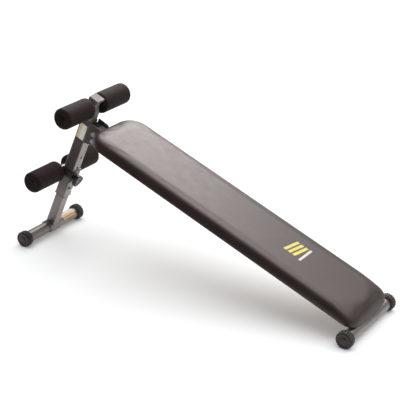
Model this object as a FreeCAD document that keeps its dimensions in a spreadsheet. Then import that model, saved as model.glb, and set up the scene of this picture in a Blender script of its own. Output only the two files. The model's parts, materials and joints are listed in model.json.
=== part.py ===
"""Decline sit-up bench: a folding front post, a height leg, two pairs of foam rollers and a long pad.

Millimetres. +X runs along the bench from the foot hooks to the low rear end, +Y across it and
+Z up. The origin is on the floor, under the middle of the bench's bounding box. Three local
frames carry the pieces: the beam frame at the fold pivot (X down the beam, Z out of the pad), the
post frame where the post's axis meets the floor (X out of its rear face, Z up the post), and the
floor frame for the rear foot.
"""
import FreeCAD, Part
import math
import os

import Sketcher
from FreeCAD import Placement, Rotation, Vector

DIMENSIONS = {
    # whole bench
    "front_foot_x": -695.0,
    "rear_foot_x": 695.0,
    "foot_height": 30.4,
    "pivot_x": -444.0,
    "pivot_height": 446.0,
    "beam_slope": 21.3,
    "post_lean": 23.8,
    "post_ground_x": -707.4,
    "gap": 0.3,
    "tube_corner": 4.0,
    "through": 120.0,
    # feet
    "foot_radius": 22.5,
    "foot_wall": 2.0,
    "foot_half": 160.0,
    "cap_radius": 31.0,
    "cap_inner_y": 140.0,
    "cap_outer_y": 170.0,
    "cap_edge_radius": 3.0,
    # beam, in the beam frame
    "beam_width": 50.0,
    "beam_depth": 40.0,
    "beam_wall": 2.0,
    "beam_front": -32.0,
    "bush_radius": 10.0,
    "bush_length": 50.0,
    "cap_plate": 2.5,
    "cap_lip": 1.5,
    "cap_lip_length": 22.0,
    "cap_plug_length": 14.0,
    # pad, in the beam frame
    "pad_front": 28.0,
    "pad_length": 1191.0,
    "pad_half_width": 137.0,
    "pad_front_corner": 78.0,
    "pad_rear_corner": 44.0,
    "pad_rear_bow": 4.0,
    "pad_thickness": 44.0,
    "pad_edge_radius": 17.0,
    "board_inset": 6.0,
    "board_thickness": 10.0,
    "strap_thickness": 3.0,
    "strap_width": 30.0,
    "strap_half_length": 126.0,
    "strap_corner": 6.0,
    "front_strap_u": 277.0,
    "rear_strap_u": 708.0,
    "pad_bolt_y": 108.0,
    "pad_bolt_radius": 4.0,
    "pad_bolt_grip": 9.0,
    "pad_hole_play": 1.0,
    "tee_nut_wall": 1.0,
    "washer_thickness": 1.6,
    "small_washer_radius": 9.0,
    # hinge, in the beam frame
    "pin_radius": 5.0,
    "pin_clearance": 0.08,
    "lock_u": -4.0,
    "lock_h": 30.0,
    "hex_flat_radius": 8.5,
    "hex_chamfer_slope": 1.732,
    "head_thickness": 6.0,
    "washer_radius": 10.0,
    "bolt_proud": 3.0,
    "plate_inner_y": 25.3,
    "plate_thickness": 3.0,
    "plate_reach": 19.0,
    "plate_below": 32.0,
    "plate_above": 62.0,
    "plate_corner": 12.0,
    "plate_bend": 2.5,
    "web_height": 26.0,
    "slot_sweep": 62.0,
    # post, in the post frame
    "post_size": 45.0,
    "post_wall": 2.0,
    "post_bottom": 204.0,
    "post_top": 572.0,
    "hole_radius": 5.25,
    "first_hole": 297.0,
    "hole_pitch": 49.5,
    "clamp_height": 240.0,
    "clamp_radius": 4.0,
    "clamp_hex_radius": 6.5,
    "sleeve_length": 26.0,
    "sleeve_lip": 3.0,
    # leg, in the post frame
    "leg_size": 38.0,
    "leg_wall": 2.0,
    "leg_top": 290.0,
    "saddle_thickness": 4.0,
    "saddle_half_length": 30.0,
    # upper roller holder, in the post frame
    "holder_width": 40.0,
    "holder_bottom": 535.0,
    "holder_top": 667.0,
    "holder_front": -20.5,
    "holder_rear": 18.5,
    "holder_lip": 20.5,
    "holder_neck": 8.6,
    "holder_wall": 2.6,
    "holder_neck_rise": 3.0,
    "holder_low_bend": 26.0,
    "holder_high_bend": 29.0,
    # rollers
    "bar_radius": 10.0,
    "bar_wall": 1.5,
    "bar_half": 182.0,
    "upper_bar_off": -4.0,
    "upper_bar_s": 626.6,
    "lower_bar_off": -38.5,
    "lower_bar_s": 300.0,
    "foam_radius": 40.0,
    "foam_edge_radius": 12.0,
    "core_radius": 13.0,
    "roller_inner_y": 29.0,
    "roller_outer_y": 184.5,
    "plug_head_radius": 11.5,
    "plug_head": 2.0,
    "plug_length": 12.0,
    # roller carriage and its lock
    "collar_wall": 2.5,
    "collar_bottom": 300.0,
    "collar_top": 334.0,
    "collar_tab_bottom": 280.0,
    "hub_radius": 13.5,
    "hub_half_length": 20.0,
    "hub_web": 16.0,
    "boss_radius": 9.0,
    "boss_end": 31.5,
    "stud_radius": 5.0,
    "stud_tip": 22.9,
    "knob_back": 32.0,
    "knob_end": 49.0,
    "knob_cover": 4.0,
    "knob_radius": 26.0,
    "knob_ridge": 5.0,
    "knob_edge": 2.5,
    "knob_recess_radius": 10.5,
    "knob_recess_depth": 6.0,
    "knob_turn": 30.0,
    "knob_scoop_radius": 22.0,
    "knob_scoop_centre": 42.5,
}

doc = FreeCAD.newDocument("SitUpBench")
sheet = doc.addObject("Spreadsheet::Sheet", "Dims")
for row, (alias, value) in enumerate(DIMENSIONS.items(), start=1):
    sheet.set(f"A{row}", alias)
    sheet.set(f"B{row}", str(value))
    sheet.setAlias(f"B{row}", alias)
doc.recompute()

SKETCH_START = 9.0
ALONG_Y = Rotation(Vector(1, 0, 0), -90)
ALONG_X = Rotation(Vector(0, 1, 0), 90)
NODES = []


def size(name):
    """The value of one named dimension."""
    return float(getattr(sheet, name))


def formula(text):
    """A formula written with plain dimension names, as the expression engine wants it."""
    words = []
    word = ""
    for letter in text + " ":
        if letter.isalnum() or letter == "_":
            word += letter
            continue
        words.append(f"Dims.{word}" if word in DIMENSIONS else word)
        words.append(letter)
        word = ""
    return "".join(words).strip()


def bind(piece, **sizes):
    """Tie properties of a piece to formulas of the sheet."""
    for name, text in sizes.items():
        piece.setExpression(name.replace("__", "."), formula(text))
    return piece


# ---------------------------------------------------------------- frames
def beam_frame():
    """Frame at the fold pivot: X runs down the beam, Z stands out of the pad."""
    base = Vector(size("pivot_x"), 0, size("pivot_height"))
    return Placement(base, Rotation(Vector(0, 1, 0), size("beam_slope")))


def post_frame():
    """Frame where the post's axis meets the floor: Z runs up the post, X out of its rear face."""
    base = Vector(size("post_ground_x"), 0, 0)
    return Placement(base, Rotation(Vector(0, 1, 0), size("post_lean")))


def foot_frame(x_name):
    """Frame on the axis of one foot tube."""
    return Placement(Vector(size(x_name), 0, size("foot_height")), Rotation())


BEAM = beam_frame()
POST = post_frame()
FRONT_FOOT = foot_frame("front_foot_x")
REAR_FOOT = foot_frame("rear_foot_x")


def node(piece, label, frame):
    """Register a finished sub-part under its name, in its frame."""
    piece.Label = label
    piece.Placement = frame
    NODES.append(piece)
    return piece


# ---------------------------------------------------------------- solids
def box(name, length, width, height, x, z, y=None):
    """A block, centred across the bench unless y says where it starts."""
    piece = doc.addObject("Part::Box", name)
    bind(piece, Length=length, Width=width, Height=height)
    start = f"-({width}) / 2" if y is None else y
    return bind(piece, Placement__Base__x=x, Placement__Base__y=start, Placement__Base__z=z)


def rod(name, radius, start, end, x, z):
    """A round bar along Y from start to end."""
    piece = doc.addObject("Part::Cylinder", name)
    piece.Placement = Placement(Vector(), ALONG_Y)
    bind(piece, Radius=radius, Height=f"({end}) - ({start})")
    return bind(piece, Placement__Base__x=x, Placement__Base__y=start, Placement__Base__z=z)


def stub(name, radius, start, end, z):
    """A round bar along X from start to end, at Y zero."""
    piece = doc.addObject("Part::Cylinder", name)
    piece.Placement = Placement(Vector(), ALONG_X)
    bind(piece, Radius=radius, Height=f"({end}) - ({start})")
    return bind(piece, Placement__Base__x=start, Placement__Base__z=z)


def post_rod(name, radius, start, end, x, y):
    """A round bar along the local Z from start to end."""
    piece = doc.addObject("Part::Cylinder", name)
    bind(piece, Radius=radius, Height=f"({end}) - ({start})")
    return bind(piece, Placement__Base__x=x, Placement__Base__y=y, Placement__Base__z=start)


def hexagon(name, radius, height, turn, free_end, **where):
    """A hexagonal head with its free end chamfered: turn says which way its axis points."""
    prism_part = doc.addObject("Part::Prism", f"{name}_prism")
    prism_part.Polygon = 6
    prism_part.Placement = Placement(Vector(), turn)
    bind(prism_part, Circumradius=f"({radius}) / cos(30)", Height=height)
    cone = doc.addObject("Part::Cone", f"{name}_cone")
    cone.Placement = Placement(Vector(), turn)
    wide = f"{radius} + ({height}) * hex_chamfer_slope"
    start, end = (wide, radius) if free_end else (radius, wide)
    bind(cone, Radius1=start, Radius2=end, Height=height)
    for piece in (prism_part, cone):
        bind(piece, **{f"Placement__Base__{axis}": text for axis, text in where.items()})
    head = doc.addObject("Part::MultiCommon", name)
    head.Shapes = [prism_part, cone]
    return head


def join(name, *pieces):
    """One solid from several that touch."""
    result = doc.addObject("Part::MultiFuse", name)
    result.Shapes = list(pieces)
    result.Refine = True
    return result


def cut(name, base, *tools):
    """The base less every tool."""
    result = doc.addObject("Part::Cut", name)
    result.Base = base
    result.Tool = tools[0] if len(tools) == 1 else join(f"{name}_tools", *tools)
    result.Refine = True
    return result


def group(name, *pieces):
    """Separate solids that share one node."""
    result = doc.addObject("Part::Compound", name)
    result.Links = list(pieces)
    return result


# ---------------------------------------------------------------- sketched bodies
def new_body(name, plane):
    """A body and a sketch on one of its origin planes."""
    body = doc.addObject("PartDesign::Body", name)
    sketch = body.newObject("Sketcher::SketchObject", f"{name}_sketch")
    origin = [face for face in body.Origin.OriginFeatures if face.Role == plane][0]
    sketch.AttachmentSupport = [(origin, "")]
    sketch.MapMode = "FlatFace"
    return body, sketch


def constrain(sketch, kind, *items):
    """Add one constraint; the last item may be a formula for its value."""
    if isinstance(items[-1], str):
        index = sketch.addConstraint(Sketcher.Constraint(kind, *items[:-1], 1.0))
        sketch.setExpression(f"Constraints[{index}]", formula(items[-1]))
        return
    sketch.addConstraint(Sketcher.Constraint(kind, *items))


def draw_square(sketch, side_x, side_y):
    """A rectangle centred on the sketch's origin."""
    first = len(sketch.Geometry)
    corners = [Vector(x * SKETCH_START, y * SKETCH_START, 0)
               for x, y in ((-1, -1), (1, -1), (1, 1), (-1, 1))]
    for start, end in zip(corners, corners[1:] + corners[:1]):
        sketch.addGeometry(Part.LineSegment(start, end), False)
    for side in range(4):
        constrain(sketch, "Coincident", first + side, 2, first + (side + 1) % 4, 1)
        constrain(sketch, "Horizontal" if side % 2 == 0 else "Vertical", first + side)
    constrain(sketch, "Symmetric", first, 1, first + 1, 2, -1, 1)
    constrain(sketch, "DistanceX", first, 1, first, 2, side_x)
    constrain(sketch, "DistanceY", first + 1, 1, first + 1, 2, side_y)


def draw_circle(sketch, radius):
    """A circle centred on the sketch's origin."""
    index = sketch.addGeometry(Part.Circle(Vector(), Vector(0, 0, 1), SKETCH_START), False)
    constrain(sketch, "Coincident", index, 3, -1, 1)
    constrain(sketch, "Radius", index, radius)


def pad_sketch(body, sketch, length, midplane=False):
    """Extrude a sketch by a bound length."""
    pad = body.newObject("PartDesign::Pad", f"{body.Name}_pad")
    pad.Profile = sketch
    pad.Midplane = midplane
    pad.setExpression("Length", formula(length))
    body.Tip = pad
    return pad


def square_tube(name, side_x, side_y, wall, length):
    """A rectangular tube along its own Z, with round outer corners."""
    body, sketch = new_body(name, "XY_Plane")
    draw_square(sketch, side_x, side_y)
    draw_square(sketch, f"{side_x} - 2 * {wall}", f"{side_y} - 2 * {wall}")
    pad = pad_sketch(body, sketch, length)
    doc.recompute()
    corner_x = size(side_x) / 2
    corner_y = size(side_y) / 2
    outer = [f"Edge{index}" for index, edge in enumerate(pad.Shape.Edges, start=1)
             if abs(abs(edge.CenterOfMass.x) - corner_x) < 0.01
             and abs(abs(edge.CenterOfMass.y) - corner_y) < 0.01]
    corners = body.newObject("PartDesign::Fillet", f"{name}_corners")
    corners.Base = (pad, outer)
    corners.setExpression("Radius", formula("tube_corner"))
    body.Tip = corners
    return body


def round_tube(name, radius, wall, half_length):
    """A round tube along Y, centred."""
    body, sketch = new_body(name, "XZ_Plane")
    draw_circle(sketch, radius)
    draw_circle(sketch, f"{radius} - {wall}")
    pad_sketch(body, sketch, f"2 * {half_length}", midplane=True)
    return body


def solid_feature(name, shape):
    """A piece whose outline has curves that no primitive gives."""
    piece = doc.addObject("Part::Feature", name)
    piece.Shape = shape
    return piece


def prism(edges, direction):
    """A closed outline swept straight."""
    return Part.Face(Part.Wire(edges)).extrude(direction)


def edges_near(shape, test):
    """The edges of a shape whose middle passes a test."""
    return [edge for edge in shape.Edges if test(edge.CenterOfMass)]


# ---------------------------------------------------------------- feet
def foot_cap(name, side):
    """A round rubber cap with a bored socket, cut flat where it stands on the floor."""
    inner = size("cap_inner_y")
    radius = size("cap_radius")
    start = Vector(0, side * inner, 0)
    outward = Vector(0, side, 0)
    barrel = Part.makeCylinder(radius, size("cap_outer_y") - inner, start, outward)
    rims = [edge for edge in barrel.Edges if edge.Closed]
    barrel = barrel.makeFillet(size("cap_edge_radius"), rims)
    socket = Part.makeCylinder(size("foot_radius"), size("foot_half") - inner, start, outward)
    below = Vector(-radius, -2 * size("cap_outer_y"), -size("foot_height") - radius)
    floor = Part.makeBox(2 * radius, 4 * size("cap_outer_y"), radius, below)
    return solid_feature(name, barrel.cut(socket).cut(floor))


def foot_pieces(where, frame):
    """The tube and two caps of one foot."""
    node(round_tube(f"{where}_foot_tube", "foot_radius", "foot_wall", "foot_half"),
         f"{where}_foot_tube", frame)
    for side, name in ((-1, "left"), (1, "right")):
        node(foot_cap(f"{where}_foot_cap_{name}", side), f"{where}_foot_cap_{name}", frame)


# ---------------------------------------------------------------- beam and pad
def rear_foot_in_beam():
    """The rear foot's axis, in the beam frame."""
    return BEAM.inverse().multVec(REAR_FOOT.Base)


def main_beam():
    """The long rectangular tube, coped at the rear onto the rear foot."""
    foot = rear_foot_in_beam()
    length = f"{foot.x} - beam_front"
    tube = square_tube("beam_tube", "beam_depth", "beam_width", "beam_wall", length)
    centre = size("bush_radius") + size("beam_depth") / 2
    tube.Placement = Placement(Vector(size("beam_front"), 0, centre), ALONG_X)
    cope = rod("beam_cope", "foot_radius", "-beam_width", "beam_width", f"{foot.x}", f"{foot.z}")
    lock_hole = rod("beam_lock_hole", "pin_radius", "-beam_width", "beam_width", "lock_u", "lock_h")
    return cut("beam_solid", tube, cope, lock_hole)


def beam_front_cap():
    """The plastic end cap: a face plate, a lip over the top and a plug in the tube."""
    plate = box("cap_face", "cap_plate", "beam_width", "beam_depth + cap_lip",
                "beam_front - cap_plate", "bush_radius")
    lip = box("cap_lip_strip", "cap_lip_length + cap_plate", "beam_width", "cap_lip",
              "beam_front - cap_plate", "bush_radius + beam_depth")
    plug = box("cap_plug", "cap_plug_length", "beam_width - 2 * beam_wall",
               "beam_depth - 2 * beam_wall", "beam_front", "bush_radius + beam_wall")
    hollow = box("cap_hollow", "cap_plug_length", "beam_width - 4 * beam_wall",
                 "beam_depth - 4 * beam_wall", "beam_front", "bush_radius + 2 * beam_wall")
    return cut("cap_solid", join("cap_blocks", plate, lip, plug), hollow)


def hinge_bush():
    """The pivot tube welded under the beam's front end."""
    outer = rod("bush_outer", "bush_radius", "-bush_length / 2", "bush_length / 2", "0", "0")
    bore = rod("bush_bore", "pin_radius + pin_clearance", "-bush_length", "bush_length", "0", "0")
    return cut("bush_solid", outer, bore)


def pad_block(inset, thickness):
    """A slab with the pad's outline: big front corners and a barely bowed rear end."""
    front = size("pad_front") + inset
    rear = size("pad_front") + size("pad_length") - inset
    shoulder = rear - size("pad_rear_bow")
    half = size("pad_half_width") - inset
    height = pad_base()
    corners = [Vector(shoulder, half, height), Vector(front, half, height),
               Vector(front, -half, height), Vector(shoulder, -half, height)]
    edges = [Part.LineSegment(start, end).toShape() for start, end in zip(corners, corners[1:])]
    edges.append(Part.Arc(corners[-1], Vector(rear, 0, height), corners[0]).toShape())
    slab = prism(edges, Vector(0, 0, thickness))
    front_edges = edges_near(slab, lambda p: abs(p.x - front) < 1 and abs(p.y) > half - 1)
    slab = slab.makeFillet(size("pad_front_corner") - inset, front_edges)
    rear_edges = edges_near(slab, lambda p: abs(p.x - shoulder) < 1 and abs(p.y) > half - 1)
    return slab.makeFillet(size("pad_rear_corner") - inset, rear_edges)


def pad_base():
    """The height of the pad's underside above the pivot."""
    return size("bush_radius") + size("beam_depth") + size("strap_thickness")


def bolt_points():
    """Where the four pad bolts stand: a formula along the beam and a side."""
    return [(u, side) for u in ("front_strap_u", "rear_strap_u") for side in (-1, 1)]


def drilled(shape, radius):
    """A sheet with the four pad bolt holes through it."""
    for u, side in bolt_points():
        base = Vector(size(u), side * size("pad_bolt_y"), 0)
        shape = shape.cut(Part.makeCylinder(radius, size("through"), base))
    return shape


def pad_board():
    """The plywood board under the pad's foam."""
    board = pad_block(size("board_inset"), size("board_thickness"))
    hole_radius = size("pad_bolt_radius") + size("pad_hole_play")
    return solid_feature("board_solid", drilled(board, hole_radius))


def bench_pad():
    """The foam and its cover: a soft top edge, wrapped down round the board."""
    block = pad_block(0, size("pad_thickness"))
    top = pad_base() + size("pad_thickness")
    block = block.makeFillet(size("pad_edge_radius"), edges_near(block, lambda p: p.z > top - 0.1))
    return solid_feature("pad_solid", block.cut(pad_block(size("board_inset"),
                                                          size("board_thickness"))))


def strap(name, u):
    """A flat steel cross strap between the beam and the board."""
    bar = box(f"{name}_bar", "strap_width", "2 * strap_half_length", "strap_thickness",
              f"{u} - strap_width / 2", "bush_radius + beam_depth")
    doc.recompute()
    half_length = size("strap_half_length")
    corners = [index for index, edge in enumerate(bar.Shape.Edges, start=1)
               if abs(edge.Length - size("strap_thickness")) < 0.01
               and abs(abs(edge.CenterOfMass.y) - half_length) < 0.01]
    rounded = doc.addObject("Part::Fillet", f"{name}_rounded")
    rounded.Base = bar
    rounded.Edges = [(index, size("strap_corner"), size("strap_corner")) for index in corners]
    holes = [post_rod(f"{name}_hole_{side + 1}", "pad_bolt_radius", "0", "through", u,
                      f"{side} * pad_bolt_y") for side in (-1, 1)]
    return cut(f"{name}_solid", rounded, *holes)


def pad_fastener(kind, index, u, side):
    """One pad bolt, its washer or the tee nut that it screws into."""
    under = "bush_radius + beam_depth"
    y = f"{side} * pad_bolt_y"
    name = f"pad_{kind}_{index}"
    if kind == "bolt":
        shank = post_rod(f"{name}_shank", "pad_bolt_radius", f"{under} - washer_thickness",
                         f"{under} + pad_bolt_grip", u, y)
        head = hexagon(f"{name}_head", "clamp_hex_radius", "head_thickness", Rotation(), False,
                       x=u, y=y, z=f"{under} - washer_thickness - head_thickness")
        return join(name, shank, head)
    if kind == "washer":
        ring = post_rod(f"{name}_ring", "small_washer_radius", f"{under} - washer_thickness", under,
                        u, y)
        eye = post_rod(f"{name}_eye", "pad_bolt_radius", "0", "through", u, y)
        return cut(name, ring, eye)
    barrel = post_rod(f"{name}_barrel", "pad_bolt_radius + tee_nut_wall",
                      f"{under} + strap_thickness",
                      f"{under} + strap_thickness + board_thickness", u, y)
    thread = post_rod(f"{name}_thread", "pad_bolt_radius", "0", "through", u, y)
    return cut(name, barrel, thread)


def beam_pieces():
    """Everything that stands in the beam frame."""
    node(main_beam(), "main_beam", BEAM)
    node(beam_front_cap(), "beam_front_cap", BEAM)
    node(hinge_bush(), "hinge_bush", BEAM)
    node(strap("front_strap", "front_strap_u"), "front_pad_strap", BEAM)
    node(strap("rear_strap", "rear_strap_u"), "rear_pad_strap", BEAM)
    node(pad_board(), "pad_board", BEAM)
    node(bench_pad(), "bench_pad", BEAM)
    for kind, label in (("bolt", "pad_bolts"), ("washer", "pad_washers"), ("nut", "pad_tee_nuts")):
        pieces = [pad_fastener(kind, index, u, side)
                  for index, (u, side) in enumerate(bolt_points())]
        node(group(f"{label}_set", *pieces), label, BEAM)


# ---------------------------------------------------------------- hinge bolts
def cross_bolt(name, x, z, inner):
    """A hexagon bolt along Y; inner is where its washers lie, on both sides."""
    washer_out = f"{inner} + washer_thickness"
    end = f"{washer_out} + head_thickness + bolt_proud"
    shank = rod(f"{name}_shank", "pin_radius", f"-({washer_out})", end, x, z)
    head = hexagon(f"{name}_head", "hex_flat_radius", "head_thickness", ALONG_Y, False, x=x,
                   y=f"-({washer_out}) - head_thickness", z=z)
    return join(f"{name}_solid", shank, head)


def cross_washers(name, x, z, inner):
    """The two washers of a cross bolt."""
    rings = []
    for side in (-1, 1):
        start = inner if side > 0 else f"-({inner}) - washer_thickness"
        ring = rod(f"{name}_ring_{side + 1}", "washer_radius", start,
                   f"({start}) + washer_thickness", x, z)
        eye = rod(f"{name}_eye_{side + 1}", "pin_radius", "-through", "through", x, z)
        rings.append(cut(f"{name}_washer_{side + 1}", ring, eye))
    return group(f"{name}_washer_set", *rings)


def cross_nut(name, x, z, inner):
    """The nut of a cross bolt."""
    start = f"{inner} + washer_thickness"
    body = hexagon(f"{name}_nut_body", "hex_flat_radius", "head_thickness", ALONG_Y, True, x=x,
                   y=start, z=z)
    thread = rod(f"{name}_nut_thread", "pin_radius", "0", "through", x, z)
    return cut(f"{name}_nut_solid", body, thread)


def hinge_pieces():
    """The lock bolt rides on the beam; the pivot bolt on the bracket."""
    for name, x, z, inner in (
            ("lock", "lock_u", "lock_h", "plate_inner_y + plate_thickness + gap"),
            ("pivot", "0", "0", "plate_inner_y + plate_thickness")):
        node(cross_bolt(name, x, z, inner), f"{name}_bolt", BEAM)
        node(cross_washers(name, x, z, inner), f"{name}_washers", BEAM)
        node(cross_nut(name, x, z, inner), f"{name}_nut", BEAM)


# ---------------------------------------------------------------- post
def pivot_in_post():
    """The fold pivot, in the post frame."""
    return POST.inverse().multVec(BEAM.Base)


def lock_in_post():
    """The lock bolt's axis at rest, in the post frame."""
    return POST.inverse().multVec(BEAM.multVec(Vector(size("lock_u"), 0, size("lock_h"))))


def post_outer_tube():
    """The square post, with three lock holes and a clamp bolt hole in its rear wall."""
    tube = square_tube("post_square", "post_size", "post_size", "post_wall",
                       "post_top - post_bottom")
    bind(tube, Placement__Base__z="post_bottom")
    holes = [stub(f"post_hole_{step}", "hole_radius", "post_size / 4", "post_size",
                  f"first_hole + {step} * hole_pitch") for step in range(3)]
    clamp = stub("post_clamp_hole", "clamp_radius", "post_size / 4", "post_size", "clamp_height")
    return cut("post_solid", tube, clamp, *holes)


def bracket_plate(inner_y, outer_y):
    """One side plate: narrow below the pivot, with an open arc slot for the lock bolt."""
    pivot = pivot_in_post()
    face = size("post_size") / 2
    reach = pivot.x + size("plate_reach")
    low = pivot.z - size("plate_below")
    high = pivot.z + size("plate_above")
    corner = size("plate_corner")
    outline = [
        Vector(face, inner_y, low),
        Vector(pivot.x - corner / 3, inner_y, low + corner),
        Vector(reach - corner / 6, inner_y, low + 1.5 * corner),
        Vector(reach, inner_y, low + 2 * corner),
        Vector(reach, inner_y, high - corner),
        Vector(reach - corner, inner_y, high),
        Vector(face, inner_y, high),
    ]
    plate = Part.Face(Part.makePolygon(outline + outline[:1]))
    plate = plate.extrude(Vector(0, outer_y - inner_y, 0))
    across = Vector(0, 2 * size("through"), 0)
    start = Vector(pivot.x, -size("through"), pivot.z)
    bolt_hole = Part.makeCylinder(size("pin_radius"), across.Length, start, across)
    return plate.cut(bolt_hole).cut(lock_slot())


def lock_slot():
    """The open slot round the pivot that lets the plate swing off the lock bolt."""
    pivot = pivot_in_post()
    lock = lock_in_post()
    spoke = lock - pivot
    radius = spoke.Length
    half = size("pin_radius") + size("gap")
    start = math.degrees(math.atan2(spoke.z, spoke.x))
    across = Vector(0, 2 * size("through"), 0)
    centre = Vector(pivot.x, -size("through"), pivot.z)
    ring = Part.makeCylinder(radius + half, across.Length, centre, across)
    ring = ring.cut(Part.makeCylinder(radius - half, across.Length, centre, across))
    wedge = [centre]
    for share in (0, 0.5, 1):
        angle = math.radians(start - share * size("slot_sweep"))
        wedge.append(centre + Vector(math.cos(angle), 0, math.sin(angle)) * size("through"))
    sector = Part.Face(Part.makePolygon(wedge + wedge[:1])).extrude(across)
    eye = Part.makeCylinder(half, across.Length, Vector(lock.x, centre.y, lock.z), across)
    return ring.common(sector).fuse(eye)


def hinge_bracket():
    """A bent U bracket: a low web on the post's rear face and two side plates."""
    pivot = pivot_in_post()
    face = size("post_size") / 2
    inner = size("plate_inner_y")
    outer = inner + size("plate_thickness")
    web_low = pivot.z - size("plate_below")
    web = Part.makeBox(size("plate_thickness"), 2 * outer, size("web_height"),
                       Vector(face, -outer, web_low))
    bracket = web.fuse([bracket_plate(inner, outer), bracket_plate(-outer, -inner)])
    bracket = bracket.removeSplitter()
    bends = edges_near(bracket, lambda p: abs(p.x - face) < 0.01 and abs(abs(p.y) - outer) < 0.01)
    return solid_feature("bracket_solid", bracket.makeFillet(size("plate_bend"), bends))


def leg_guide_sleeve():
    """The plastic guide in the post's mouth that the leg slides through."""
    shell = box("sleeve_shell", "post_size - 2 * post_wall", "post_size - 2 * post_wall",
                "sleeve_length", "-(post_size - 2 * post_wall) / 2", "post_bottom")
    lip = box("sleeve_lip_block", "post_size", "post_size", "sleeve_lip", "-post_size / 2",
              "post_bottom - sleeve_lip")
    bore = box("sleeve_bore", "leg_size + 2 * gap", "leg_size + 2 * gap", "through",
               "-leg_size / 2 - gap", "post_bottom - through / 2")
    return cut("sleeve_solid", join("sleeve_blocks", shell, lip), bore)


def leg_clamp():
    """The bolt that clamps the leg in the post, and its washer."""
    seat = "post_size / 2"
    shank = stub("clamp_shank", "clamp_radius", "leg_size / 2 + gap",
                 f"{seat} + washer_thickness", "clamp_height")
    head = hexagon("clamp_head", "clamp_hex_radius", "head_thickness", ALONG_X, True,
                   x=f"{seat} + washer_thickness", z="clamp_height")
    ring = stub("clamp_ring", "small_washer_radius", seat, f"{seat} + washer_thickness",
                "clamp_height")
    eye = stub("clamp_eye", "clamp_radius", "0", "through", "clamp_height")
    return join("clamp_bolt_solid", shank, head), cut("clamp_washer_solid", ring, eye)


def holder_profile(inset, bottom):
    """The holder's side outline: straight in front, necked in behind the roller bar."""
    front = size("holder_front") + inset
    rear = size("holder_rear") - inset
    lip = size("holder_lip") - inset
    neck = size("holder_neck") - inset
    top = size("holder_top") - inset
    middle = size("upper_bar_s") + size("holder_neck_rise")
    low_shoulder = middle - size("holder_low_bend")
    high_shoulder = middle + size("holder_high_bend") - inset
    spline = Part.BSplineCurve()
    spline.interpolate([Vector(rear, 0, low_shoulder), Vector(neck, 0, middle),
                        Vector(lip, 0, high_shoulder)])
    corners = [Vector(lip, 0, high_shoulder), Vector(lip, 0, top), Vector(front, 0, top),
               Vector(front, 0, bottom), Vector(rear, 0, bottom), Vector(rear, 0, low_shoulder)]
    edges = [spline.toShape()]
    edges += [Part.LineSegment(a, b).toShape() for a, b in zip(corners, corners[1:])]
    return edges


def upper_roller_holder():
    """The hollow formed holder that plugs into the post's top and carries the upper bar."""
    half = size("holder_width") / 2
    wall = size("holder_wall")
    bottom = size("holder_bottom")
    outer = prism(holder_profile(0, bottom), Vector(0, 2 * half, 0))
    outer.translate(Vector(0, -half, 0))
    inner = prism(holder_profile(wall, bottom - wall), Vector(0, 2 * (half - wall), 0))
    inner.translate(Vector(0, -(half - wall), 0))
    start = Vector(size("upper_bar_off"), -size("through"), size("upper_bar_s"))
    bar = Part.makeCylinder(size("bar_radius"), 2 * size("through"), start, Vector(0, 1, 0))
    return solid_feature("holder_solid", outer.cut(inner).cut(bar))


# ---------------------------------------------------------------- rollers
def roller_bar(name, x, z):
    """A round tube across the bench that a pair of rollers turns on."""
    outer = rod(f"{name}_outer", "bar_radius", "-bar_half", "bar_half", x, z)
    inner = rod(f"{name}_inner", "bar_radius - bar_wall", "-bar_half", "bar_half", x, z)
    return cut(f"{name}_solid", outer, inner)


def bar_plugs(name, x, z):
    """The two plastic plugs that close a bar and keep its rollers on."""
    plugs = []
    for side, word in ((-1, "left"), (1, "right")):
        near = "bar_half - plug_length"
        face = "roller_outer_y + gap"
        stem = (near, face) if side > 0 else (f"-({face})", f"-({near})")
        head = ((face, f"{face} + plug_head") if side > 0
                else (f"-({face}) - plug_head", f"-({face})"))
        plugs.append(join(f"{name}_{word}",
                          rod(f"{name}_{word}_stem", "bar_radius - bar_wall", *stem, x, z),
                          rod(f"{name}_{word}_head", "plug_head_radius", *head, x, z)))
    return group(f"{name}_set", *plugs)


def roller(name, side, off, height):
    """One foam roller and the hard core that turns on the bar."""
    inner_y = size("roller_inner_y")
    outer_y = size("roller_outer_y")
    start = inner_y if side > 0 else -outer_y
    base = Vector(size(off), start, size(height))
    across = Vector(0, 1, 0)
    length = outer_y - inner_y
    body = Part.makeCylinder(size("foam_radius"), length, base, across)
    body = body.makeFillet(size("foam_edge_radius"),
                           [edge for edge in body.Edges if edge.Closed])
    bore = Part.makeCylinder(size("core_radius"), length, base, across)
    hole = Part.makeCylinder(size("bar_radius") + size("gap"), length, base, across)
    node(solid_feature(f"{name}_foam", body.cut(bore)), f"{name}_foam", POST)
    node(solid_feature(f"{name}_core", bore.cut(hole)), f"{name}_core", POST)


def roller_pairs():
    """Both pairs of rollers."""
    for level, off, height in (("upper", "upper_bar_off", "upper_bar_s"),
                               ("lower", "lower_bar_off", "lower_bar_s")):
        node(roller_bar(f"{level}_bar", off, height), f"{level}_roller_bar", POST)
        node(bar_plugs(f"{level}_plug", off, height), f"{level}_bar_plugs", POST)
        for side, word in ((-1, "left"), (1, "right")):
            roller(f"{level}_roller_{word}", side, off, height)


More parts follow.
